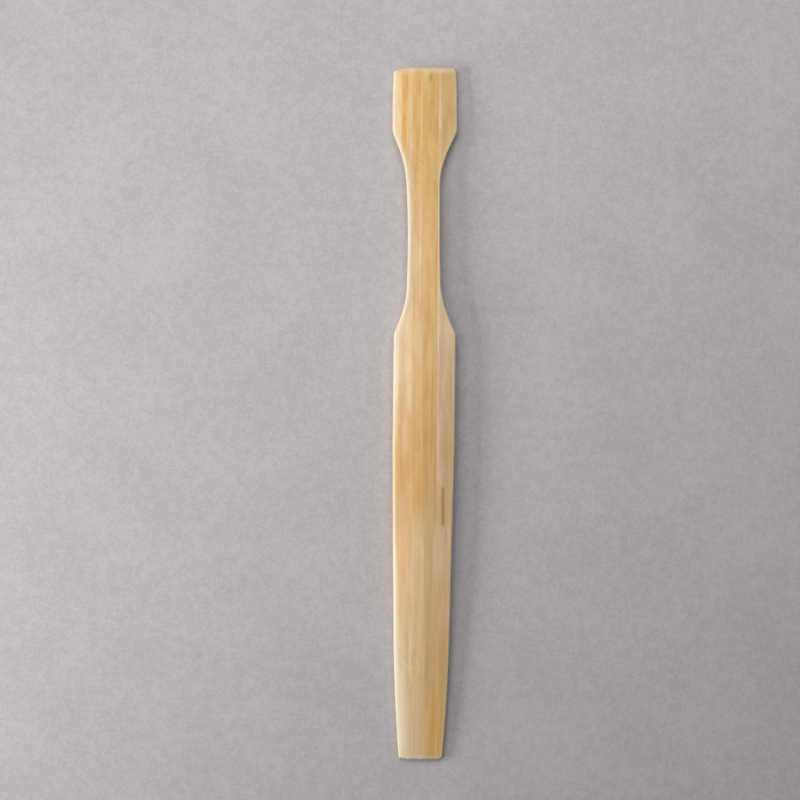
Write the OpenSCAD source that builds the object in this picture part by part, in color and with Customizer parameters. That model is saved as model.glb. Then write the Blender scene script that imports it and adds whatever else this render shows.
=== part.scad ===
// Bamboo bone folder: a flat tool for creasing, scoring and smoothing paper.
// It is edge-glued from four full-length bamboo strips, then cut and sanded to a
// flared head, a waisted neck, a long body and a thin end.
// Frame: the tool lies on its underside. +Y runs along it to the flared head, +X runs
// across it to the right and +Z is up. The origin is the middle of the underside.
// Places along the tool are given as s, the distance from the thin end.

/* [Outline] */
// Overall length, from the thin end to the head's end
tool_len = 200; // [180:1:220]
// Length of the body, from the thin end to its shoulder corners
body_len = 122.9; // [110:0.1:130]
// Length of the flared head, from its corners to its end
head_len = 18.8; // [14:0.1:24]
// Width across the head
head_w = 18.7; // [17:0.1:22]
// Width across the body at its shoulder corners
body_w = 17.9; // [17:0.1:22]
// Width across the narrowest point of the neck
waist_w = 9.36; // [9.1:0.02:12]
// Radius of the long hollow curve along each side of the neck
neck_bow = 450; // [200:10:800]
// Angle between a shoulder's straight cut and the tool's length
shoulder_angle = 23.5; // [18:0.5:30]
// Radius where a shoulder runs out into the neck
shoulder_fillet = 23; // [15:1:40]
// Radius left on the corners of the shoulders
shoulder_corner = 3; // [1:0.5:8]

/* [Ends in plan] */
// Distance from the thin end at which the body starts to narrow
taper_len = 90; // [60:1:110]
// Width lost by the straight part of that narrowing, at the thin end
body_taper = 2.8; // [1:0.1:4]
// Length of the rounder narrowing next to the thin end
tip_len = 37; // [20:1:60]
// Width lost by the rounder narrowing, at the thin end
tip_draw = 2.5; // [1:0.1:3]
// Length over which the head's sides close in towards its end
head_draw_len = 10; // [4:0.5:12]
// Width lost by the head's sides there
head_draw = 0.8; // [0:0.1:1.2]
// Left corner of the thin end: its reach across and along the tool
tip_corner_left = [2.8, 0.7]; // [0.3:0.1:3]
// Right corner of the thin end: its reach across and along the tool
tip_corner_right = [1.9, 1.3]; // [0.3:0.1:2]
// Left corner of the head: its reach across and along the tool
head_corner_left = [6, 1.4]; // [0.3:0.1:7]
// Right corner of the head: its reach across and along the tool
head_corner_right = [1.8, 1.2]; // [0.3:0.1:4]

/* [Thickness] */
// Thickness of the body
body_t = 5; // [4:0.1:6]
// Height of the neck's top face above the table
neck_t = 4.5; // [3.8:0.1:5]
// Thickness at the thin end, before its edge is rounded
tip_t = 1.7; // [1.2:0.1:2.5]
// Length of the wedge that thins the body to the thin end
tip_wedge_len = 70; // [40:1:90]
// Thickness at the head's end, before its edge is bevelled
head_t = 2.3; // [1.6:0.1:3]
// Length of the wedge that thins the neck and head to the head's end
head_wedge_len = 42; // [30:1:60]
// Height of the neck's underside above the table
neck_lift = 0.5; // [0:0.1:0.8]
// Worn bevel on the head's end: its length and its height
head_bevel = [1.6, 0.6]; // [0.3:0.1:2]
// Rounding on the thin end: its length and its height
tip_bevel = [0.8, 0.5]; // [0.3:0.1:1]

/* [Sanded faces] */
// Rounding of the top face's left long edge: its reach across the tool and its drop
left_round = [1, 0.9]; // [0.4:0.1:2]
// Rounding of the top face's right long edge: its reach across the tool and its drop
right_round = [0.5, 0.45]; // [0.3:0.05:2]
// How much further the left rounding reaches across at the thin end
tip_round_more = 2.3; // [0:0.1:3]
// Length from the thin end over which the left rounding is wider
tip_round_len = 75; // [40:1:90]
// How much further the left rounding reaches across at the body's shoulder
shoulder_round_more = 1.3; // [0:0.1:2]
// Length of the body below the shoulder over which the left rounding is wider
shoulder_round_len = 34; // [20:1:60]
// Rounding of the underside's long edges: its reach across the tool and its rise
under_round = [0.8, 0.7]; // [0.2:0.1:1]
// How much higher the top face is along its middle than at its sides
crown = 0.6; // [0:0.05:0.8]

/* [Glue lines] */
// Left glue line: its X at the thin end and at the head's end
left_seam = [-2.7, -3.5]; // [-3.6:0.1:-2]
// Middle glue line: its X at the thin end and at the head's end
middle_seam = [1, -0.8]; // [-1:0.1:1]
// Right glue line: its X at the thin end and at the head's end
right_seam = [3.9, 3.9]; // [3:0.1:4]

/* [Hidden] */

seams = [left_seam, middle_seam, right_seam];
head_start = tool_len - head_len;
waist_at = (body_len + head_start)/2;
shoulder_slope = tan(shoulder_angle);

// Small offsets of a hand-cut outline from a straight middle line, as [s, X]
wander = [
    [0, -0.15],
    [60, 0],
    [body_len, 0.36],
    [body_len + 15, 0],
    [waist_at + 4, -0.08],
    [head_start - 13, -0.35],
    [head_start, 0.04],
    [tool_len, 0]
];

// Bands over which faces that meet along the top are blended
wedge_band = 0.5;
// How far the dip from the body's top face to the neck reaches, and where it starts
neck_dip_len = 22;
neck_dip_start = body_len - 6;
// How soon the left rounding is narrow again past the shoulder's corner
shoulder_round_end = 5;
// Largest share of the thickness that the top and bottom roundings may take
top_share = 0.45;
under_share = 0.3;

// Steps around one strip's section: across its top and across its underside
edge_top_steps = 7;
edge_under_steps = 4;
centre_top_steps = 2;
centre_under_steps = 1;

// Sections along the tool, closest where the outline turns fastest
end_zone = 1.6;
function steps(from, to, gap) =
    let (n = max(ceil((to - from)/gap), 1))
    [for (k = [0:n - 1]) from + (to - from)*k/n];
function bunched(zone, n) = [for (k = [0:n - 1]) zone*(1 - cos(90*k/n))];
tip_stations = bunched(end_zone, 6);
stations = concat(
    tip_stations,
    steps(end_zone, tip_len, 4.5),
    steps(tip_len, body_len - 4, 6),
    steps(body_len - 4, body_len + 16, 1.4),
    steps(body_len + 16, head_start - 18, 4.5),
    steps(head_start - 18, head_start + 2, 1.4),
    steps(head_start + 2, tool_len - end_zone, 3.5),
    [for (k = [1:7]) tool_len - end_zone*(1 - sin(90*(k - 1)/6))]
);

function unit(t) = min(max(t, 0), 1);
function ease(t) = let (u = unit(t)) u*u*(3 - 2*u);

// The larger or the smaller of two values, blended where they are less than k apart
function soft_max(a, b, k) = max(a, b) + pow(max(k - abs(a - b), 0), 2)/(4*k);
function soft_min(a, b, k) = -soft_max(-a, -b, k);
// The k that rounds a corner with radius r, where the slopes of its sides differ by m
function blend_band(r, m) = r*m*m/2;

// Half widths of the body, neck, head and shoulders, and of the whole outline
function body_half(s) =
    body_w/2
    - body_taper/2*max(1 - s/taper_len, 0)
    - tip_draw/2*pow(max(1 - s/tip_len, 0), 2);
function neck_half(s) = waist_w/2 + pow(s - waist_at, 2)/(2*neck_bow);
function head_half(s) =
    head_w/2 - head_draw/2*pow(max(1 - (tool_len - s)/head_draw_len, 0), 2);
function shoulder_half(s) =
    s < waist_at
    ? body_w/2 - shoulder_slope*(s - body_len)
    : head_w/2 - shoulder_slope*(head_start - s);
function half_width(s) =
    soft_min(
        s < waist_at ? body_half(s) : head_half(s),
        soft_max(neck_half(s), shoulder_half(s), blend_band(shoulder_fillet, shoulder_slope)),
        blend_band(shoulder_corner, shoulder_slope)
    );

// Drop of a quarter ellipse at distance d in from where it ends, over its reach
function round_off(d, reach, drop) =
    d < reach ? drop*(1 - sqrt(max(1 - pow(1 - d/reach, 2), 0))) : 0;

// What the corners in plan take off the half width
function corner_cut(corner, d) = round_off(d, corner[1], corner[0]);
function left_cut(s) =
    corner_cut(tip_corner_left, s) + corner_cut(head_corner_left, tool_len - s);
function right_cut(s) =
    corner_cut(tip_corner_right, s) + corner_cut(head_corner_right, tool_len - s);

// X of the tool's left edge, of its three glue lines and of its right edge
function left_x(s) = lookup(s, wander) - half_width(s) + left_cut(s);
function right_x(s) = lookup(s, wander) + half_width(s) - right_cut(s);
function seam_x(seam, s) = seam[0] + (seam[1] - seam[0])*s/tool_len;
function border_x(i, s) =
    i == 0 ? left_x(s) : i == 4 ? right_x(s) : seam_x(seams[i - 1], s);

// Heights along the middle of the top face and of the underside
function top_line(s) =
    let (
        flat = body_t - (body_t - neck_t)*ease((s - neck_dip_start)/neck_dip_len),
        tip_wedge = tip_t + s*(body_t - tip_t)/tip_wedge_len,
        head_wedge = head_t + (tool_len - s)*(neck_t - head_t)/head_wedge_len
    )
    soft_min(soft_min(flat, tip_wedge, wedge_band), head_wedge, wedge_band)
    - round_off(s, tip_bevel[0], tip_bevel[1])
    - round_off(tool_len - s, head_bevel[0], head_bevel[1]);
function under_line(s) =
    neck_lift*(ease((s - body_len - 2)/14) - ease((s - head_start + 14)/14));

// Reach of the left rounding, which is wider by the thin end and at the shoulder
function left_reach(s) =
    let (
        past = s - body_len,
        along = past < 0 ? -past/shoulder_round_len : past/shoulder_round_end
    )
    left_round[0]
    + tip_round_more*ease(1 - s/tip_round_len)
    + shoulder_round_more*ease(1 - along);

// What the rounded long edges take off a face at X. Each rounding is a reach and a drop,
// and the drop is no more than a share of the thickness.
function edges_off(s, x, left, right, most) =
    round_off(x - left_x(s), left[0], min(left[1], most))
    + round_off(right_x(s) - x, right[0], min(right[1], most));

// Heights of the top face and of the underside at X. The crown is one curve across the
// body's full width, and the slim neck has the middle part of it.
function top_z(s, x) =
    let (t = top_line(s) - under_line(s))
    top_line(s)
    - crown*t/body_t*pow((x - lookup(s, wander))/(body_w/2), 2)
    - edges_off(s, x, [left_reach(s), left_round[1]], right_round, top_share*t);
function under_z(s, x) =
    let (t = top_line(s) - under_line(s))
    under_line(s) + edges_off(s, x, under_round, under_round, under_share*t);

// X positions across strip i, drawn together towards the tool's side on an edge strip
function spread(i, u) = i == 0 ? 1 - cos(90*u) : i == 3 ? sin(90*u) : u;
function across(i, s, n) =
    let (a = border_x(i, s), b = border_x(i + 1, s))
    [for (k = [0:n]) a + (b - a)*spread(i, k/n)];

// One section of strip i: over the top from left to right, then back underneath
function is_edge(i) = i == 0 || i == 3;
function section(i, s) =
    let (
        y = s - tool_len/2,
        top = across(i, s, is_edge(i) ? edge_top_steps : centre_top_steps),
        under = across(i, s, is_edge(i) ? edge_under_steps : centre_under_steps),
        n = len(under) - 1
    )
    concat(
        [for (x = top) [x, y, top_z(s, x)]],
        [for (k = [0:n]) [under[n - k], y, under_z(s, under[n - k])]]
    );

// Strip i of the glued-up blank, counted from the left, as one closed loft
module strip(i) {
    sections = [for (s = stations) section(i, s)];
    n = len(sections[0]);
    last = len(stations) - 1;
    // The caps' fans start at a corner of the section that no edge of it lines up with
    corner = i == 0 ? 0 : is_edge(i) ? edge_top_steps : centre_top_steps;
    sides = [
        for (j = [0:last - 1])
        for (k = [0:n - 1])
        let (a = j*n + k, b = a + n, c = (j + 1)*n + (k + 1) % n, d = j*n + (k + 1) % n)
        each [[a, b, c], [a, c, d]]
    ];
    tip_cap = [for (k = [0:n - 1]) (corner + k) % n];
    head_cap = [for (k = [0:n - 1]) last*n + (corner + n - k) % n];
    polyhedron(points = [for (ring = sections) each ring], faces = concat(sides, [tip_cap, head_cap]));
}

module left_edge_strip() {
    color("#E9C691") strip(0);
}

module left_centre_strip() {
    color("#DDB676") strip(1);
}

module right_centre_strip() {
    color("#D2AA6A") strip(2);
}

module right_edge_strip() {
    color("#D6B283") strip(3);
}

left_edge_strip();
left_centre_strip();
right_centre_strip();
right_edge_strip();
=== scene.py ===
# Looks of the bamboo bone folder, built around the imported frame. Lengths are millimetres
# until they reach a mesh, a light or the camera, and angles are degrees. Places along the
# tool are given as s, the distance from the thin end, and places across it as x, as in the
# frame. The blank is four strips, counted from 0 at the left.
import math

import bpy
import numpy as np
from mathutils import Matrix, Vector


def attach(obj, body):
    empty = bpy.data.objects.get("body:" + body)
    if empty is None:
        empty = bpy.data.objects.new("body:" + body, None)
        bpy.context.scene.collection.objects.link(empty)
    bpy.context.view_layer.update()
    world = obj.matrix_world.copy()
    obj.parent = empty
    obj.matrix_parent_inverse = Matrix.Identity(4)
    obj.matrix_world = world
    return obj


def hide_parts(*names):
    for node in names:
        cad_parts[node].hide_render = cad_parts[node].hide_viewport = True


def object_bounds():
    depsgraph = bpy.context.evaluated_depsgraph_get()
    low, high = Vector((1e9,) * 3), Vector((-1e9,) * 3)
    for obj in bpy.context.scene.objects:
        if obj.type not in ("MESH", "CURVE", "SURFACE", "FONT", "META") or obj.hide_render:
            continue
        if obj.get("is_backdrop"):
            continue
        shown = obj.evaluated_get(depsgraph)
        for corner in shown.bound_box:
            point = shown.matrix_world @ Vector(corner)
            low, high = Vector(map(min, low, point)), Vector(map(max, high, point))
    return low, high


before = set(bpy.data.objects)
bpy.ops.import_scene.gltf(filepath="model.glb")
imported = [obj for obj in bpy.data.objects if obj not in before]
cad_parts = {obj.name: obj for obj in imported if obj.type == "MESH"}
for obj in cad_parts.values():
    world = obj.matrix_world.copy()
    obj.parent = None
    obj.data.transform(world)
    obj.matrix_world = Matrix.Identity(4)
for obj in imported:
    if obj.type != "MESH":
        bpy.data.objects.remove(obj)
cad_lo, cad_hi = (list(corner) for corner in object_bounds())

MM = 0.001
TOOL_LEN = (cad_hi[1] - cad_lo[1])/MM
BODY_T = (cad_hi[2] - cad_lo[2])/MM

# --- Outline of the tool ---------------------------------------------------------------

BODY_LEN = 122.9
HEAD_LEN = 18.8
HEAD_W = 18.7
BODY_W = 17.9
WAIST_W = 9.36
NECK_BOW = 450
SHOULDER_SLOPE = math.tan(math.radians(23.5))
SHOULDER_FILLET = 23
SHOULDER_CORNER = 3
TAPER_LEN, BODY_TAPER = 90, 2.8
TIP_LEN, TIP_DRAW = 37, 2.5
HEAD_DRAW_LEN, HEAD_DRAW = 10, 0.8
HEAD_START = TOOL_LEN - HEAD_LEN
WAIST_AT = (BODY_LEN + HEAD_START)/2

# Reach across and along the tool of its four corners in plan
TIP_CORNERS = ((2.8, 0.7), (1.9, 1.3))
HEAD_CORNERS = ((6, 1.4), (1.8, 1.2))

# Small offsets of the hand-cut outline from a straight middle line, as (s, x)
WANDER = (
    (0, -0.15),
    (60, 0),
    (BODY_LEN, 0.36),
    (BODY_LEN + 15, 0),
    (WAIST_AT + 4, -0.08),
    (HEAD_START - 13, -0.35),
    (HEAD_START, 0.04),
    (TOOL_LEN, 0),
)

# Glue lines, each as its x at the thin end and at the head's end
SEAMS = ((-2.7, -3.5), (1, -0.8), (3.9, 3.9))

# --- Thickness -------------------------------------------------------------------------

NECK_T = 4.5
TIP_T, TIP_WEDGE = 1.7, 70
HEAD_T, HEAD_WEDGE = 2.3, 42
WEDGE_BAND = 0.5
NECK_DIP_START, NECK_DIP_LEN = BODY_LEN - 6, 22
NECK_LIFT, NECK_LIFT_LEN = 0.5, 14
NECK_LIFT_START, NECK_LIFT_END = BODY_LEN + 2, HEAD_START - 14
CROWN = 0.6

# Rounded edges and bevels, each as reach and drop
LEFT_ROUND, RIGHT_ROUND, UNDER_ROUND = (1.0, 0.9), (0.5, 0.45), (0.8, 0.7)
HEAD_BEVEL, TIP_BEVEL = (1.6, 0.6), (0.8, 0.5)
RIM_ROUND = (0.22, 0.16)

# What the left edge's rounding gains in reach by the thin end and at the shoulder
TIP_ROUND_MORE, TIP_ROUND_LEN = 2.3, 75
SHOULDER_ROUND_MORE, SHOULDER_ROUND_LEN, SHOULDER_ROUND_END = 1.3, 34, 5

# The most of the thickness that the top and the bottom edge rounding may take
TOP_SHARE, UNDER_SHARE = 0.45, 0.3

# How round a bevel's profile is, and the least share of its reach across the tool
BEVEL_ROUNDNESS, BEVEL_LEAST = 0.55, 0.86

# --- Mesh density and surface relief ------------------------------------------------------

LEFT_EDGE, RIGHT_EDGE = 0, 3
EDGE_STEPS, CENTRE_STEPS, WALL_STEPS = 48, 32, 6
END_ZONE = 1.8
END_STEPS = 16
SHARP_ANGLE = 40

# Noise layers, each as seed, amount, cell across and cell along
TIP_BEVEL_VARIES, HEAD_BEVEL_VARIES = (5, 0.14, 1.3, 9), (6, 0.14, 1.3, 9)
WAVES = ((11, 0.02, 4.5, 11), (12, 0.012, 1.6, 30))
FIBRES = ((13, 0.012, 0.42, 26), (14, 0.008, 0.2, 11))
GROOVES = ((21, 0.035, 5, 6), (22, 0.035, 5, 6), (23, 0.035, 5, 6))
LEFT_WAVER, RIGHT_WAVER = (30, 0.03, 5, 7), (32, 0.03, 5, 7)
WALL_RELIEF = (41, 0.03, 0.5, 22)
TIP_RAGGED, TIP_CHIPPED = (51, 0.06, 0.5, 0.9), (52, 0.05, 1.7, 9)
HEAD_RAGGED = (53, 0.09, 0.6, 0.9)

EDGE_INSET = 0.01
GROOVE_HALF_W = 0.14
RAGGED_LEN = 2.5

# --- Wear and painted highlight, from 0 on fresh wood to 1 and above on chalky wood ---------

# The left side has less wear and less painted highlight between two places along it, over a
# soft length at each
DIM_EDGE_START, DIM_EDGE_SOFT_IN = 58, 12
DIM_EDGE_END, DIM_EDGE_SOFT_OUT = 106, 10
DIM_EDGE_LESS = 0.45

# Reach of the left side's wear and painted highlight as a share of its rounding, and what the
# head adds to it
LEFT_WORN_LIT_SHARE, HEAD_WORN_LIT_MORE = 0.9, 0.2
HEAD_WORN_LIT_START, HEAD_WORN_LIT_LEN = 176, 8
# The pale line along the right edge is partly wear and partly painted highlight
RIGHT_WORN_LIT, RIGHT_WORN_LIT_REACH = 0.8, 0.55

# Wear and painted highlight of a side fade down its wall and come back a little by the
# underside
WALL_FADE = 0.7
WALL_WORN_LIT = 0.15
UNDER_EDGE_WORN_LIT, UNDER_EDGE_FADE = 0.45, 0.5

# Wear of the ends, partly painted highlight on the head's bevel and painted light on the thin
# end's bevel: its reach as a share of the bevel's, and its strength. Each has a least value
# and a noise layer on top.
HEAD_REACH_LEAST, HEAD_REACH_VARIES = 0.75, (6, 0.55, 1.3, 9)
TIP_REACH_LEAST, TIP_REACH_VARIES = 0.8, (8, 1.0, 0.6, 9)
TIP_WORN_LIT_LEAST, TIP_WORN_LIT_VARIES = 0.7, (9, 0.9, 0.35, 9)
HEAD_WORN_LIT = 0.65
END_WORN_LIT_FADE = 1.4

# Right of this x, the thin end is less worn, has less painted light and isn't chipped
CHIPPED_X = 1
UNCHIPPED_SHARE = 0.45


def ease(t):
    t = np.clip(t, 0, 1)
    return t*t*(3 - 2*t)


def soft_max(a, b, band):
    return np.maximum(a, b) + np.maximum(band - np.abs(a - b), 0)**2/(4*band)


def soft_min(a, b, band):
    return -soft_max(-a, -b, band)


def blend_band(radius, slope):
    return radius*slope*slope/2


def round_off(d, reach, drop):
    """Drop of a quarter ellipse at distance d in from where it ends."""
    return drop*(1 - np.sqrt(1 - np.clip(1 - d/reach, 0, 1)**2))


def grain(seed, x, s, x_cell, s_cell):
    """Smooth seeded noise from 0 to 1, in cells of x_cell by s_cell millimetres."""
    table = np.random.default_rng(seed).uniform(0, 1, (256, 256))
    u, v = (x + 20)/x_cell, (s + 20)/s_cell
    iu, iv = np.floor(u).astype(int), np.floor(v).astype(int)
    fu, fv = ease(u - iu), ease(v - iv)
    low = table[iu % 256, iv % 256]*(1 - fv) + table[iu % 256, (iv + 1) % 256]*fv
    high = table[(iu + 1) % 256, iv % 256]*(1 - fv) + table[(iu + 1) % 256, (iv + 1) % 256]*fv
    return low*(1 - fu) + high*fu


def layer_at(layer, x, s):
    """Value of a noise layer at (x, s), from 0 to its amount."""
    seed, amount, x_cell, s_cell = layer
    return amount*grain(seed, x, s, x_cell, s_cell)


def bell(d, width):
    return np.exp(-(d/width)**2)


def half_width(s):
    body = (
        BODY_W/2
        - BODY_TAPER/2*np.maximum(1 - s/TAPER_LEN, 0)
        - TIP_DRAW/2*np.maximum(1 - s/TIP_LEN, 0)**2
    )
    head = HEAD_W/2 - HEAD_DRAW/2*np.maximum(1 - (TOOL_LEN - s)/HEAD_DRAW_LEN, 0)**2
    neck = WAIST_W/2 + (s - WAIST_AT)**2/(2*NECK_BOW)
    shoulder = np.where(
        s < WAIST_AT,
        BODY_W/2 - SHOULDER_SLOPE*(s - BODY_LEN),
        HEAD_W/2 - SHOULDER_SLOPE*(HEAD_START - s),
    )
    return soft_min(
        np.where(s < WAIST_AT, body, head),
        soft_max(neck, shoulder, blend_band(SHOULDER_FILLET, SHOULDER_SLOPE)),
        blend_band(SHOULDER_CORNER, SHOULDER_SLOPE),
    )


def middle_x(s):
    return np.interp(s, [place[0] for place in WANDER], [place[1] for place in WANDER])


def side_x(side, s):
    """x of the left edge (side -1) or the right edge (side 1), sanded by hand."""
    tip, head = TIP_CORNERS[side > 0], HEAD_CORNERS[side > 0]
    half = half_width(s)
    half = half - round_off(s, tip[1], tip[0]) - round_off(TOOL_LEN - s, head[1], head[0])
    half = half - EDGE_INSET - layer_at(RIGHT_WAVER if side > 0 else LEFT_WAVER, 0*s, s)
    half = half - round_off(end_distance(s), *RIM_ROUND)
    return middle_x(s) + side*half


def seam_x(i, s):
    at_tip, at_head = SEAMS[i]
    return at_tip + (at_head - at_tip)*s/TOOL_LEN


def border_x(i, s):
    """x of the left border of strip i, or of the tool's right edge after the last strip."""
    if i == LEFT_EDGE:
        return side_x(-1, s)
    return side_x(1, s) if i > RIGHT_EDGE else seam_x(i - 1, s)


def end_distance(s):
    return np.minimum(s, TOOL_LEN - s)


def left_round_reach(s):
    """Reach of the left edge's rounding: wider by the thin end and at the shoulder."""
    along = np.where(
        s < BODY_LEN,
        (BODY_LEN - s)/SHOULDER_ROUND_LEN,
        (s - BODY_LEN)/SHOULDER_ROUND_END,
    )
    tip = ease(1 - s/TIP_ROUND_LEN)
    return LEFT_ROUND[0] + TIP_ROUND_MORE*tip + SHOULDER_ROUND_MORE*ease(1 - along)


def worn_bevel(x, d, size, varies):
    """Drop of a worn end at distance d in from it, between a rounding and a flat bevel."""
    reach = size[0]*(BEVEL_LEAST + layer_at(varies, x, 0*x))
    flat = size[1]*np.clip(1 - d/reach, 0, 1)
    return BEVEL_ROUNDNESS*round_off(d, reach, size[1]) + (1 - BEVEL_ROUNDNESS)*flat


def faces_at(s, x):
    """Heights of the top face and of the underside at (s, x), with their fine relief."""
    flat = BODY_T - (BODY_T - NECK_T)*ease((s - NECK_DIP_START)/NECK_DIP_LEN)
    tip = TIP_T + s*(BODY_T - TIP_T)/TIP_WEDGE
    head = HEAD_T + (TOOL_LEN - s)*(NECK_T - HEAD_T)/HEAD_WEDGE
    line = soft_min(soft_min(flat, tip, WEDGE_BAND), head, WEDGE_BAND)
    line = line - worn_bevel(x, s, TIP_BEVEL, TIP_BEVEL_VARIES)
    line = line - worn_bevel(x, TOOL_LEN - s, HEAD_BEVEL, HEAD_BEVEL_VARIES)
    under = NECK_LIFT*(
        ease((s - NECK_LIFT_START)/NECK_LIFT_LEN) - ease((s - NECK_LIFT_END)/NECK_LIFT_LEN)
    )
    t = line - under
    left, right = x - side_x(-1, s), side_x(1, s) - x

    left_reach = left_round_reach(s)
    top = line - CROWN*t/BODY_T*((x - middle_x(s))/(BODY_W/2))**2
    top = top - round_off(left, left_reach, np.minimum(LEFT_ROUND[1], TOP_SHARE*t))
    top = top - round_off(right, RIGHT_ROUND[0], np.minimum(RIGHT_ROUND[1], TOP_SHARE*t))
    rise = np.minimum(UNDER_ROUND[1], UNDER_SHARE*t)
    for from_side in (left, right):
        under = under + round_off(from_side, UNDER_ROUND[0], rise)

    # Hand sanding leaves shallow waves, and harder fibres stand a little proud
    waves = sum(layer_at(layer, x, s) for layer in WAVES)
    fibres = sum(layer_at(layer, x, s) for layer in FIBRES)
    top = top - waves - fibres
    under = under + fibres + waves/2
    for i, layer in enumerate(GROOVES):
        groove = layer_at(layer, 0*s, s)*bell(x - seam_x(i, s), GROOVE_HALF_W)
        top = top - groove
        under = under + groove
    rim = round_off(end_distance(s), *RIM_ROUND)
    return top - rim, under + rim


def run(start, stop, gap):
    """Even places from start to just before stop, at most gap apart."""
    return np.linspace(start, stop, math.ceil((stop - start)/gap), endpoint=False)


def stations():
    """Places of the sections along the tool, closest where the shape turns fastest."""
    bunched = 1 - np.cos(np.linspace(0, math.pi/2, END_STEPS, endpoint=False))
    return np.concatenate((
        END_ZONE*bunched,
        run(END_ZONE, TIP_LEN, gap=0.6),
        run(TIP_LEN, BODY_LEN - 4, gap=0.75),
        run(BODY_LEN - 4, BODY_LEN + 16, gap=0.4),
        run(BODY_LEN + 16, HEAD_START - 18, gap=0.6),
        run(HEAD_START - 18, HEAD_START + 2, gap=0.4),
        run(HEAD_START + 2, TOOL_LEN - END_ZONE, gap=0.5),
        TOOL_LEN - END_ZONE*bunched[::-1],
    ))


def across(i, steps):
    """Places across strip i from 0 to 1, closest where its surface turns."""
    u = np.linspace(0, 1, steps + 1)
    bunched = (1 - np.cos(math.pi*u))/2
    if i == LEFT_EDGE:
        return 0.35*u*u + 0.65*bunched
    if i == RIGHT_EDGE:
        return (1 - 0.35*u*u - 0.65*bunched)[::-1]
    return 0.65*u + 0.35*bunched


def wear_and_highlight_at(s, x, z, top, under):
    """How worn the surface is, with painted highlight in the same mask: along both sides, less
    so down their walls, and at the ends. The pale sides and the head's bevel are partly wear
    and partly painted highlight, and the thin end's bevel is partly painted light.
    """
    less = ease((s - DIM_EDGE_START)/DIM_EDGE_SOFT_IN)*ease((DIM_EDGE_END - s)/DIM_EDGE_SOFT_OUT)
    share = LEFT_WORN_LIT_SHARE + HEAD_WORN_LIT_MORE*ease((s - HEAD_WORN_LIT_START)/HEAD_WORN_LIT_LEN)
    left = bell(x - side_x(-1, s), share*left_round_reach(s))*(1 - DIM_EDGE_LESS*less)
    right = RIGHT_WORN_LIT*bell(side_x(1, s) - x, RIGHT_WORN_LIT_REACH)
    by_top = bell(top - z, WALL_FADE)
    by_under = WALL_WORN_LIT + UNDER_EDGE_WORN_LIT*bell(z - under, UNDER_EDGE_FADE)
    sides = np.maximum(left, right)*np.maximum(by_top, by_under)

    head_reach = HEAD_BEVEL[0]*(HEAD_REACH_LEAST + layer_at(HEAD_REACH_VARIES, x, 0*x))
    head_end = HEAD_WORN_LIT*ease(END_WORN_LIT_FADE - (TOOL_LEN - s)/head_reach)
    # The thin end's bevel faces away from the lights and is painted paler, partly as painted
    # light
    tip_reach = TIP_BEVEL[0]*(TIP_REACH_LEAST + layer_at(TIP_REACH_VARIES, x, 0*x))
    tip_worn_lit = TIP_WORN_LIT_LEAST + layer_at(TIP_WORN_LIT_VARIES, x, 0*x)
    tip_end = tip_worn_lit*ease(END_WORN_LIT_FADE - s/tip_reach)
    tip_end = tip_end*np.where(x < CHIPPED_X, 1, UNCHIPPED_SHARE)
    return np.maximum(sides, np.maximum(head_end, tip_end))


def strip_grid(i, steps):
    """Points and wear with painted highlight of strip i, over its sections, levels from the
    top down, and places across. Only the outside of this solid grid becomes mesh."""
    s = stations()[:, None]
    left, right = border_x(i, s), border_x(i + 1, s)
    x = left + (right - left)*across(i, steps)
    s = s + 0*x
    top, under = (face[:, None, :] for face in faces_at(s, x))
    z = top + (under - top)*np.linspace(0, 1, WALL_STEPS + 1)[None, :, None]
    x = x[:, None, :] + 0*z
    s = s[:, None, :] + 0*z

    depth = layer_at(WALL_RELIEF, z[:, 1:-1, 0], s[:, 1:-1, 0])
    if i == LEFT_EDGE:
        x[:, 1:-1, 0] += depth
    if i == RIGHT_EDGE:
        x[:, 1:-1, -1] -= depth

    # The cut ends are a little ragged, most of all on the left of the thin end
    ragged = layer_at(TIP_RAGGED, x, z) + layer_at(TIP_CHIPPED, x, z)*(x < CHIPPED_X)
    s = s + ragged*np.clip(1 - s/RAGGED_LEN, 0, 1)**2
    s = s - layer_at(HEAD_RAGGED, x, z)*np.clip(1 - (TOOL_LEN - s)/RAGGED_LEN, 0, 1)**2
    points = np.stack((x, s - TOOL_LEN/2, z), axis=-1)*MM
    return points, wear_and_highlight_at(s, x, z, top, under)


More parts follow.
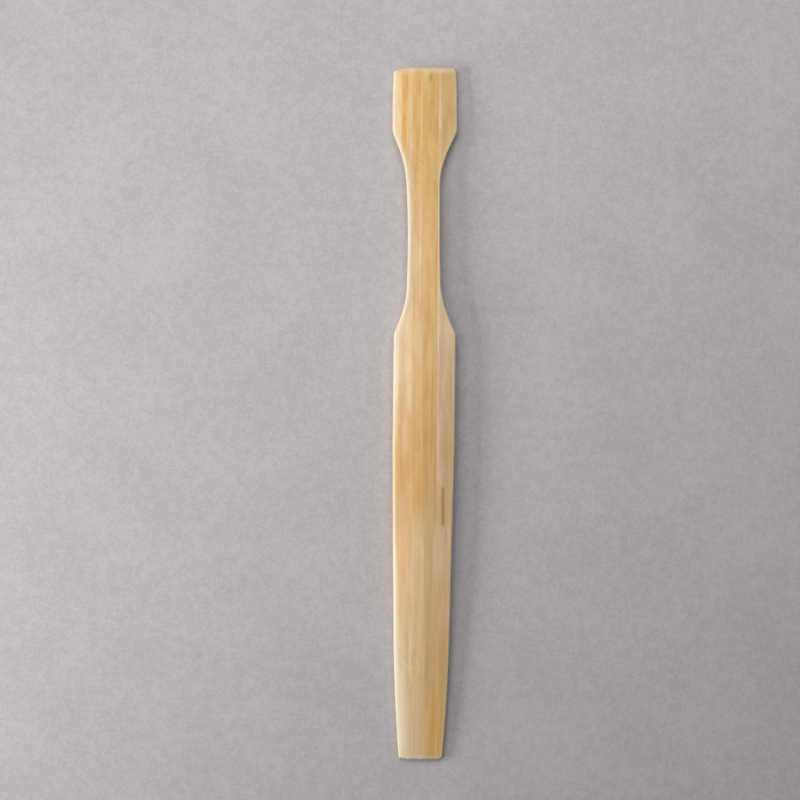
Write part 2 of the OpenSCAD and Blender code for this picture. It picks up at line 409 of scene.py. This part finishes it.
def strip_mesh(i, name):
    """Strip i as one closed mesh: a tube of its sections, and a filled grid at each end."""
    n = EDGE_STEPS if i in (LEFT_EDGE, RIGHT_EDGE) else CENTRE_STEPS
    m = WALL_STEPS
    points, wear_and_highlight = strip_grid(i, n)

    # Cells of a section's outline as (level, place across), once around it
    loop = [(0, k) for k in range(n + 1)]
    loop += [(r, n) for r in range(1, m)]
    loop += [(m, k) for k in range(n, -1, -1)]
    loop += [(r, 0) for r in range(m - 1, 0, -1)]
    rows, cols = (np.array(part) for part in zip(*loop))
    index = {cell: k for k, cell in enumerate(loop)}
    around, count = len(loop), len(points)

    vertices = [points[:, rows, cols].reshape(-1, 3)]
    worn_and_lit = [wear_and_highlight[:, rows, cols].ravel()]
    cut = [np.repeat(np.arange(count) % (count - 1) == 0, around)]
    faces = []
    for j in range(count - 1):
        for k in range(around):
            k2 = (k + 1) % around
            faces.append((
                j*around + k,
                j*around + k2,
                (j + 1)*around + k2,
                (j + 1)*around + k,
            ))
    total = count*around
    for j, turn in ((0, -1), (count - 1, 1)):
        inner = {}
        for r in range(1, m):
            for k in range(1, n):
                inner[r, k] = total + len(inner)
        vertices.append(points[j, 1:m, 1:n].reshape(-1, 3))
        worn_and_lit.append(wear_and_highlight[j, 1:m, 1:n].ravel())
        cut.append(np.ones(len(inner)))
        total += len(inner)

        def at(r, k):
            return j*around + index[r, k] if (r, k) in index else inner[r, k]

        for r in range(m):
            for k in range(n):
                quad = (at(r, k), at(r, k + 1), at(r + 1, k + 1), at(r + 1, k))
                faces.append(quad[::turn])

    mesh = bpy.data.meshes.new(name)
    mesh.from_pydata(np.concatenate(vertices).tolist(), [], faces)
    mesh.update()
    # The wear attribute also carries painted highlight on the edges and painted light on the
    # ends
    for title, parts in (("wear_and_highlight", worn_and_lit), ("cut", cut)):
        attribute = mesh.attributes.new(title, "FLOAT", "POINT")
        attribute.data.foreach_set("value", np.concatenate(parts).astype(np.float32))
    mesh.shade_smooth()
    mesh.set_sharp_from_angle(angle=math.radians(SHARP_ANGLE))
    return mesh


# --- Materials ---------------------------------------------------------------------------


class Graph:
    """Short names for the nodes that the materials are made of."""

    def __init__(self, name):
        self.material = bpy.data.materials.new(name)
        self.material.use_nodes = True
        self.tree = self.material.node_tree
        self.shader = self.tree.nodes["Principled BSDF"]

    def put(self, value, socket):
        if isinstance(value, bpy.types.NodeSocket):
            self.tree.links.new(value, socket)
        else:
            socket.default_value = value

    def node(self, kind, *inputs, **settings):
        made = self.tree.nodes.new("ShaderNode" + kind)
        for key, value in settings.items():
            setattr(made, key, value)
        for value, socket in zip(inputs, made.inputs):
            if value is not None:
                self.put(value, socket)
        return made

    def math(self, operation, *inputs):
        return self.node("Math", *inputs, operation=operation).outputs[0]

    def scaled(self, vector, scale, seed):
        return self.node("Mapping", vector, (seed, 1.7*seed, 0.6*seed), None, scale).outputs[0]

    def noise(self, vector, scale, seed, detail):
        made = self.node("TexNoise")
        self.put(self.scaled(vector, scale, seed), made.inputs["Vector"])
        made.inputs["Scale"].default_value = 1
        made.inputs["Detail"].default_value = detail
        return made.outputs["Fac"]

    def cells(self, vector, scale, seed):
        made = self.node("TexVoronoi")
        self.put(self.scaled(vector, scale, seed), made.inputs["Vector"])
        made.inputs["Scale"].default_value = 1
        return made.outputs["Distance"]

    def stretch(self, value, low, high, to_low=0.0, to_high=1.0):
        made = self.node("MapRange", value, low, high, to_low, to_high)
        made.interpolation_type = "SMOOTHSTEP"
        return made.outputs[0]

    def mix(self, factor, a, b, blend="MIX"):
        made = self.tree.nodes.new("ShaderNodeMix")
        made.data_type = "RGBA"
        made.blend_type = blend
        self.put(factor, made.inputs[0])
        self.put(a if isinstance(a, bpy.types.NodeSocket) else (*a, 1), made.inputs[6])
        self.put(b if isinstance(b, bpy.types.NodeSocket) else (*b, 1), made.inputs[7])
        return made.outputs[2]

    def ramp(self, factor, stops):
        made = self.node("ValToRGB", factor)
        points = made.color_ramp.elements
        while len(points) < len(stops):
            points.new(0.5)
        for point, (place, colour) in zip(points, stops):
            point.position = place
            point.color = (*colour, 1)
        return made.outputs[0]

    def window(self, value, low, high, soft):
        """1 between low and high, falling to 0 within soft of them."""
        off = self.math("ABSOLUTE", self.math("SUBTRACT", value, (low + high)/2))
        half = (high - low)/2
        return self.stretch(off, half - soft, half + soft, 1.0, 0.0)


# Tints that the tone is multiplied by, as the darker and the paler of each pair
STREAK_TINTS = ((0.91, 0.87, 0.78), (1.07, 1.09, 1.15))
FLAME_TINTS = ((0.95, 0.92, 0.85), (1.04, 1.06, 1.10))
SANDED_TINTS = ((0.96, 0.95, 0.92), (1.09, 1.12, 1.17))
THREAD_TINT = (0.90, 0.84, 0.70)

# Colours of the wear mask: worn wood, made pale and creamy partly as painted highlight, and
# chalky wood on the thin end, partly painted light
WORN_AND_LIT_WOOD = (0.67, 0.60, 0.45)
CHALKY_AND_LIT_WOOD = (0.84, 0.76, 0.68)
END_GRAIN = ((0.47, 0.34, 0.19), (0.62, 0.48, 0.29))
END_GRAIN_DOTS = (0.27, 0.17, 0.08)

# Noise of the wood: cells per millimetre across and along the fibre, seed and detail
DRIFT = (0.10, 0.018, 3, 1)
BROAD = (0.6, 0.010, 11, 2)
MIDDLE = (1.9, 0.022, 23, 3)
FINE = (6.0, 0.10, 37, 2)
CLOUD = (0.55, 0.10, 91, 3)
SHIFT = (1.1, 0.06, 61, 1)

# Fibre bundles, and their dots on a cut end: cells per millimetre in x, y and z, and seed
BUNDLES = ((1.3, 0.05, 1.3), 51)
DOTS = ((2.1, 0.02, 2.1), 17)

# How far the fibres wander across the strip, and how far the bundles do on top of that
DRIFT_W, SHIFT_W = 1.6, 1.4

# Shares of the noise layers in a streak
BROAD_SHARE, MIDDLE_SHARE, FINE_SHARE = 0.42, 0.40, 0.18

# The streaks are faint from the thin end to the first place, and full from the second
FAINT_CONTRAST, FAINT_END, FULL_START = 0.6, 40, 95

# Patches fade out between these heights, and the underside has none. Their borders follow
# the fibre by so much across it, and along it by a share of their length up to a limit.
PATCH_LOW, PATCH_HIGH = 0.5, 1.1
PATCH_SWAY_X, PATCH_SWAY_SHARE, PATCH_SWAY_MOST = 0.4, 0.15, 8.0

# Marks of sandpaper, in cells per millimetre along, across and through them
SANDING_ANGLE = 42
COARSE_MARKS, FINE_MARKS = (0.22, 1.7, 1.7), (0.30, 4.0, 4.0)
COARSE_SHARE, FINE_MARKS_SHARE = 0.4, 0.6

# Where these marks are clear: x from, x to, s from, s to, strength
SANDED_SPOTS = (
    (-4.5, 5, 148, 184, 0.9),
    (-6.5, 0.5, 18, 32, 0.8),
    (1.5, 5.5, 26, 38, 0.6),
    (-3, 3, 122, 136, 0.6),
)
SPOT_SOFT_X, SPOT_SOFT_S = 1.2, 4

# Roughness of dark streaks, and what pale streaks, wear and scratches add to it
ROUGHNESS, PALE_ROUGHER, WORN_ROUGHER, SCRATCH_ROUGHER = 0.46, 0.12, -0.10, 0.15
SPECULAR = 0.36

# Relief that is left to bump, and the shares of fibres, bundles and scratches in it
BUMP_DEPTH = 0.012
FIBRE_BUMP, BUNDLE_BUMP, SCRATCH_BUMP = 0.7, 0.5, -0.8


class Wood(Graph):
    """A strip's material, with the places and the noise that its parts share."""

    def __init__(self, name, seed):
        super().__init__(name)
        self.seed = seed
        place = self.node("TexCoord").outputs["Object"]
        scaled = self.node("VectorMath", place, operation="SCALE")
        scaled.inputs["Scale"].default_value = 1/MM
        self.place = scaled.outputs[0]
        self.x, y, self.z = self.node("SeparateXYZ", self.place).outputs
        self.s = self.math("ADD", y, TOOL_LEN/2)

        # Fibres run along y and wander a little
        drift = self.layer(self.place, DRIFT)
        fibre_x = self.math("MULTIPLY_ADD", drift, DRIFT_W, self.less(self.x, DRIFT_W/2))
        fibre = self.node("CombineXYZ", fibre_x, y, self.z).outputs[0]
        self.broad = self.layer(fibre, BROAD)
        self.middle = self.layer(fibre, MIDDLE)
        self.fine = self.layer(fibre, FINE)
        self.cloud = self.layer(fibre, CLOUD)
        bundle_x = self.math("MULTIPLY_ADD", self.layer(fibre, SHIFT), SHIFT_W, fibre_x)
        bundle = self.node("CombineXYZ", bundle_x, y, self.z).outputs[0]
        self.bundles = self.dots(bundle, BUNDLES, 0.06, 0.34)

    def layer(self, vector, layer):
        over, along, number, detail = layer
        return self.noise(vector, (over, along, over), number + self.seed, detail)

    def dots(self, vector, pattern, core, rim):
        """Round cells: 1 up to core from each middle, falling to 0 at rim."""
        scale, number = pattern
        distance = self.cells(vector, scale, number + self.seed)
        return self.stretch(distance, core, rim, 1.0, 0.0)

    def less(self, value, by):
        return self.math("SUBTRACT", value, by)

    def tinted(self, factor, colour, tint):
        return self.mix(factor, colour, tint, "MULTIPLY")

    def patched(self, tones, patches):
        """Tones along the strip, with patches of other tones above its underside."""
        along = self.math("DIVIDE", self.s, TOOL_LEN)
        tone = self.ramp(along, [(s/TOOL_LEN, colour) for s, colour in tones])
        above = self.stretch(self.z, PATCH_LOW, PATCH_HIGH)
        x = self.less(self.x, PATCH_SWAY_X/2)
        x = self.math("MULTIPLY_ADD", self.middle, PATCH_SWAY_X, x)
        for x0, x1, s0, s1, soft_x, soft_s, colour, strength in patches:
            sway = min(PATCH_SWAY_MOST, PATCH_SWAY_SHARE*(s1 - s0))
            s = self.math("MULTIPLY_ADD", self.fine, sway, self.less(self.s, sway/2))
            in_x, in_s = self.window(x, x0, x1, soft_x), self.window(s, s0, s1, soft_s)
            mask = self.math("MULTIPLY", self.math("MULTIPLY", in_x, in_s), above)
            tone = self.mix(self.math("MULTIPLY", mask, strength), tone, colour)
        return tone

    def streaked(self, tone):
        """Streaks on the tone, redder where dark and creamier where pale. Gives the colour
        and the streaks."""
        streak = self.math("MULTIPLY", self.broad, BROAD_SHARE)
        streak = self.math("MULTIPLY_ADD", self.middle, MIDDLE_SHARE, streak)
        streak = self.math("MULTIPLY_ADD", self.fine, FINE_SHARE, streak)
        streak = self.stretch(streak, 0.36, 0.64)
        contrast = self.stretch(self.s, FAINT_END, FULL_START, FAINT_CONTRAST, 1.0)
        colour = self.tinted(contrast, tone, self.mix(streak, *STREAK_TINTS))
        flame = self.mix(self.stretch(self.cloud, 0.36, 0.64), *FLAME_TINTS)
        colour = self.tinted(contrast, colour, flame)
        threads = self.stretch(self.cloud, 0.42, 0.62, 0.0, 0.55)
        threads = self.math("MULTIPLY", self.bundles, threads)
        return self.mix(threads, colour, self.tinted(1.0, colour, THREAD_TINT)), streak

    def sanded(self, colour):
        """Diagonal marks of sandpaper, clear in some places and faint elsewhere. Gives the
        colour and the marks."""
        turned = self.node("VectorRotate", self.place, rotation_type="Z_AXIS")
        turned.inputs["Angle"].default_value = math.radians(SANDING_ANGLE)
        coarse = self.noise(turned.outputs[0], COARSE_MARKS, 71, 2)
        marks = self.noise(turned.outputs[0], FINE_MARKS, 73, 2)
        coarse = self.math("MULTIPLY", coarse, COARSE_SHARE)
        marks = self.math("MULTIPLY_ADD", marks, FINE_MARKS_SHARE, coarse)
        marks = self.stretch(marks, 0.46, 0.64)

        clear = self.noise(self.place, (0.12, 0.05, 0.12), 5, 2)
        clear = self.stretch(clear, 0.50, 0.70, 0.05, 0.4)
        for x0, x1, s0, s1, strength in SANDED_SPOTS:
            in_x = self.window(self.x, x0, x1, SPOT_SOFT_X)
            in_s = self.window(self.s, s0, s1, SPOT_SOFT_S)
            spot = self.math("MULTIPLY", self.math("MULTIPLY", in_x, in_s), strength)
            clear = self.math("MAXIMUM", clear, spot)
        clear = self.math("MULTIPLY", clear, self.stretch(self.cloud, 0.36, 0.56, 0.35, 1.0))
        scratched = self.tinted(1.0, colour, self.mix(marks, *SANDED_TINTS))
        return self.mix(clear, colour, scratched), self.math("MULTIPLY", marks, clear)

    def worn_and_lit(self, colour, wear_and_highlight):
        """Paler, drier wood on edges and bevels, partly painted highlight, and chalky wood on
        the chipped end, partly painted light on its bevel.
        """
        share = self.math("MULTIPLY", wear_and_highlight, self.stretch(self.middle, 0.30, 0.70, 0.7, 1.0))
        colour = self.mix(self.math("MULTIPLY", share, 0.9), colour, WORN_AND_LIT_WOOD)
        return self.mix(self.stretch(wear_and_highlight, 1.0, 1.5), colour, CHALKY_AND_LIT_WOOD)

    def cut(self, colour):
        """End grain on the cut ends, with the dark dots of the fibre bundles."""
        dots = self.math("MULTIPLY", self.dots(self.place, DOTS, 0.16, 0.36), 0.75)
        end_grain = self.mix(dots, self.mix(self.fine, *END_GRAIN), END_GRAIN_DOTS)
        cut = self.node("Attribute", attribute_name="cut").outputs["Fac"]
        return self.mix(self.math("MULTIPLY", cut, 0.85), colour, end_grain)


def bamboo(name, tones, patches, seed):
    """Bamboo with the given tones along it, and patches of other tones on top.
    tones: (s, colour) each. patches: (x from, x to, s from, s to, softness in x, softness in
    s, colour, strength) each."""
    g = Wood(name, seed)
    # The wear mask carries painted highlight on the edges and painted light on the ends too
    wear_and_highlight = g.node("Attribute", attribute_name="wear_and_highlight").outputs["Fac"]
    colour, streak = g.streaked(g.patched(tones, patches))
    colour, scratch = g.sanded(colour)
    colour = g.cut(g.worn_and_lit(colour, wear_and_highlight))

    rough = g.math("MULTIPLY_ADD", streak, PALE_ROUGHER, ROUGHNESS)
    rough = g.math("MULTIPLY_ADD", wear_and_highlight, WORN_ROUGHER, rough)
    rough = g.math("MULTIPLY_ADD", scratch, SCRATCH_ROUGHER, rough)
    height = g.math("MULTIPLY", g.bundles, BUNDLE_BUMP)
    height = g.math("MULTIPLY_ADD", g.fine, FIBRE_BUMP, height)
    height = g.math("MULTIPLY_ADD", scratch, SCRATCH_BUMP, height)
    bump = g.node("Bump")
    bump.inputs["Strength"].default_value = 1
    bump.inputs["Distance"].default_value = BUMP_DEPTH*MM
    g.put(height, bump.inputs["Height"])
    g.put(colour, g.shader.inputs["Base Color"])
    g.put(rough, g.shader.inputs["Roughness"])
    g.put(bump.outputs[0], g.shader.inputs["Normal"])
    g.shader.inputs["Specular IOR Level"].default_value = SPECULAR
    return g.material


STRIPS = (
    dict(
        node="left_edge_strip",
        piece="left_edge_bamboo",
        seed=1,
        tones=(
            (0, (0.65, 0.47, 0.27)),
            (50, (0.69, 0.49, 0.27)),
            (68, (0.63, 0.42, 0.20)),
            (85, (0.59, 0.38, 0.15)),
            (115, (0.63, 0.44, 0.24)),
            (150, (0.59, 0.46, 0.30)),
            (188, (0.65, 0.45, 0.20)),
        ),
        patches=(
            (-6.6, -5.0, 176, 199, 0.35, 3, (0.62, 0.36, 0.11), 0.9),
            (-9.4, -6.7, 176, 199, 0.3, 3, (0.71, 0.53, 0.29), 0.85),
            (-4.9, -3.2, 103, 128, 0.5, 5, (0.72, 0.54, 0.32), 0.8),
            (-7, -4.3, 53, 66, 0.5, 4, (0.72, 0.47, 0.22), 0.6),
        ),
    ),
    dict(
        node="left_centre_strip",
        piece="left_centre_bamboo",
        seed=2,
        tones=(
            (0, (0.61, 0.44, 0.24)),
            (35, (0.61, 0.42, 0.21)),
            (62, (0.68, 0.50, 0.27)),
            (74, (0.59, 0.38, 0.14)),
            (88, (0.57, 0.36, 0.13)),
            (115, (0.64, 0.44, 0.20)),
            (150, (0.60, 0.41, 0.19)),
            (188, (0.58, 0.35, 0.11)),
        ),
        patches=(
            (-3, -1.5, 181, 198, 0.3, 3, (0.62, 0.39, 0.14), 0.7),
            (-1.2, -0.6, 178, 199, 0.15, 3, (0.74, 0.54, 0.28), 0.6),
            (-1.4, -0.6, 132, 160, 0.25, 3, (0.70, 0.51, 0.29), 0.8),
            (-2.7, 0.4, 3, 60, 0.4, 5, (0.65, 0.47, 0.29), 0.35),
        ),
    ),
    dict(
        node="right_centre_strip",
        piece="right_centre_bamboo",
        seed=3,
        tones=(
            (0, (0.54, 0.35, 0.14)),
            (40, (0.56, 0.37, 0.16)),
            (62, (0.56, 0.39, 0.19)),
            (88, (0.52, 0.33, 0.12)),
            (115, (0.59, 0.40, 0.16)),
            (150, (0.60, 0.40, 0.16)),
            (188, (0.55, 0.34, 0.11)),
        ),
        patches=(
            (-0.7, 3.7, 170, 200, 0.5, 4, (0.55, 0.38, 0.12), 0.6),
            (1.3, 1.9, 195.7, 197.6, 0.25, 0.6, (0.36, 0.27, 0.06), 0.85),
            (2.6, 4.2, 160, 167, 0.5, 2.5, (0.52, 0.37, 0.11), 0.7),
            (3.3, 4.4, 96, 130, 0.4, 5, (0.62, 0.45, 0.26), 0.6),
            (0.4, 2.7, 2, 67, 0.35, 2, (0.52, 0.36, 0.17), 0.7),
            (3.1, 4.4, 53, 67, 0.3, 3, (0.64, 0.48, 0.31), 0.5),
            (1.5, 4.2, 2, 19, 0.4, 3, (0.57, 0.35, 0.11), 0.7),
        ),
    ),
    dict(
        node="right_edge_strip",
        piece="right_edge_bamboo",
        seed=4,
        tones=(
            (0, (0.57, 0.37, 0.15)),
            (45, (0.59, 0.41, 0.22)),
            (62, (0.59, 0.41, 0.23)),
            (90, (0.52, 0.35, 0.18)),
            (115, (0.58, 0.42, 0.25)),
            (150, (0.65, 0.48, 0.29)),
            (188, (0.51, 0.34, 0.13)),
        ),
        patches=(
            (3.9, 4.9, 75, 200, 0.3, 4, (0.66, 0.49, 0.27), 0.6),
            (4, 5.7, 80, 126, 0.5, 5, (0.61, 0.45, 0.29), 0.45),
            (4.9, 7.2, 4, 36, 0.5, 5, (0.50, 0.33, 0.12), 0.7),
            (3.8, 6.2, 53, 67, 0.4, 3, (0.64, 0.48, 0.31), 0.5),
            (5.3, 7, 177, 198, 0.4, 3, (0.50, 0.36, 0.13), 0.6),
            (5.3, 6.3, 68, 79, 0.25, 0.5, (0.36, 0.26, 0.11), 0.9),
            (3.9, 5.7, 3, 19, 0.4, 3, (0.58, 0.38, 0.11), 0.7),
        ),
    ),
)


def add_object(name, data):
    made = bpy.data.objects.new(name, data)
    bpy.context.collection.objects.link(made)
    return made


for i, strip in enumerate(STRIPS):
    mesh = strip_mesh(i, strip["piece"])
    mesh.materials.append(
        bamboo(strip["piece"] + "_finish", strip["tones"], strip["patches"], strip["seed"])
    )
    piece = add_object(strip["piece"], mesh)
    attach(piece, "root")
    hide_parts(strip["node"])

# --- Floor, lights and camera --------------------------------------------------------------

FLOOR_HALF = 3000
PAPER_SHADES = ((0.385, 0.375, 0.380), (0.455, 0.445, 0.446))
PAPER_BUMP = 0.05
PAPER_ROUGHNESS, PAPER_SPECULAR = 0.9, 0.2
WORLD_COLOUR, WORLD_STRENGTH = (1.0, 0.97, 1.0), 0.1

LIGHTS = (
    dict(
        name="key",
        azimuth=190,
        elevation=20,
        distance=420,
        size=(300, 160),
        spread=110,
        power=0.69,
        colour=(0.985, 1.0, 1.0),
    ),
    dict(
        name="high",
        azimuth=165,
        elevation=60,
        distance=800,
        size=(500, 500),
        spread=180,
        power=2.12,
        colour=(1.0, 0.92, 0.93),
    ),
    dict(
        name="top",
        azimuth=80,
        elevation=50,
        distance=420,
        size=(300, 300),
        spread=180,
        power=0.98,
        colour=(1.0, 0.985, 0.995),
    ),
)


def paper():
    """Plain grey paper with a faint mottle. Its noise is in cells per metre."""
    g = Graph("paper")
    place = g.node("TexCoord").outputs["Object"]
    cloud = g.noise(place, (45, 45, 45), 3, 4)
    mottle = g.noise(place, (330, 330, 330), 5, 3)
    grit = g.noise(place, (1300, 1300, 1300), 9, 2)
    shade = g.math("MULTIPLY_ADD", grit, 0.5, g.math("MULTIPLY", mottle, 0.35))
    shade = g.stretch(g.math("MULTIPLY_ADD", cloud, 0.25, shade), 0.40, 0.70)
    colour = g.mix(shade, *PAPER_SHADES)
    bump = g.node("Bump")
    bump.inputs["Distance"].default_value = PAPER_BUMP*MM
    g.put(grit, bump.inputs["Height"])
    g.put(colour, g.shader.inputs["Base Color"])
    g.put(bump.outputs[0], g.shader.inputs["Normal"])
    g.shader.inputs["Roughness"].default_value = PAPER_ROUGHNESS
    g.shader.inputs["Specular IOR Level"].default_value = PAPER_SPECULAR
    return g.material


floor_mesh = bpy.data.meshes.new("floor")
corners = ((-1, -1), (1, -1), (1, 1), (-1, 1))
half = FLOOR_HALF*MM
floor_mesh.from_pydata([(a*half, b*half, 0) for a, b in corners], [], [(0, 1, 2, 3)])
floor_mesh.materials.append(paper())
floor = add_object("floor", floor_mesh)
floor.location.z = cad_lo[2]
floor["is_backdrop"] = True


def soft_light(name, azimuth, elevation, distance, size, spread, power, colour):
    """An area light aimed at the tool, whose light spreads over an angle around its axis.
    Azimuth 0 is towards +X and 90 towards +Y."""
    data = bpy.data.lights.new(name, "AREA")
    data.shape = "RECTANGLE"
    data.size, data.size_y = (side*MM for side in size)
    data.spread = math.radians(spread)
    data.energy = power
    data.color = colour
    light = add_object(name, data)
    a, e = math.radians(azimuth), math.radians(elevation)
    reach = distance*MM
    light.location = (
        reach*math.cos(e)*math.cos(a),
        reach*math.cos(e)*math.sin(a),
        reach*math.sin(e),
    )
    light.rotation_euler = (math.pi/2 - e, 0, a + math.pi/2)
    light.visible_camera = False


for light in LIGHTS:
    soft_light(**light)

world = bpy.data.worlds.new("studio")
world.use_nodes = True
background = world.node_tree.nodes["Background"]
background.inputs["Color"].default_value = (*WORLD_COLOUR, 1)
background.inputs["Strength"].default_value = WORLD_STRENGTH
bpy.context.scene.world = world
bpy.context.scene.view_settings.view_transform = "Standard"

# The camera looks straight down, from a little left of the tool's middle and towards its
# head. FIELD is the width of the view at the height of the tool's middle.
LENS, SENSOR = 70, 36
FIELD = 230.5
CAMERA_X, CAMERA_Y = -6.70, 3.92
CAMERA_ROLL = 0.33
camera_data = bpy.data.cameras.new("camera")
camera_data.lens = LENS
camera_data.sensor_width = SENSOR
camera_data.clip_start = 0.01
camera = add_object("camera", camera_data)
middle = [(low + high)/2 for low, high in zip(cad_lo, cad_hi)]
camera.location = (
    middle[0] + CAMERA_X*MM,
    middle[1] + CAMERA_Y*MM,
    middle[2] + FIELD*LENS/SENSOR*MM,
)
camera.rotation_euler = (0, 0, math.radians(CAMERA_ROLL))
bpy.context.scene.camera = camera

bpy.context.view_layer.update()
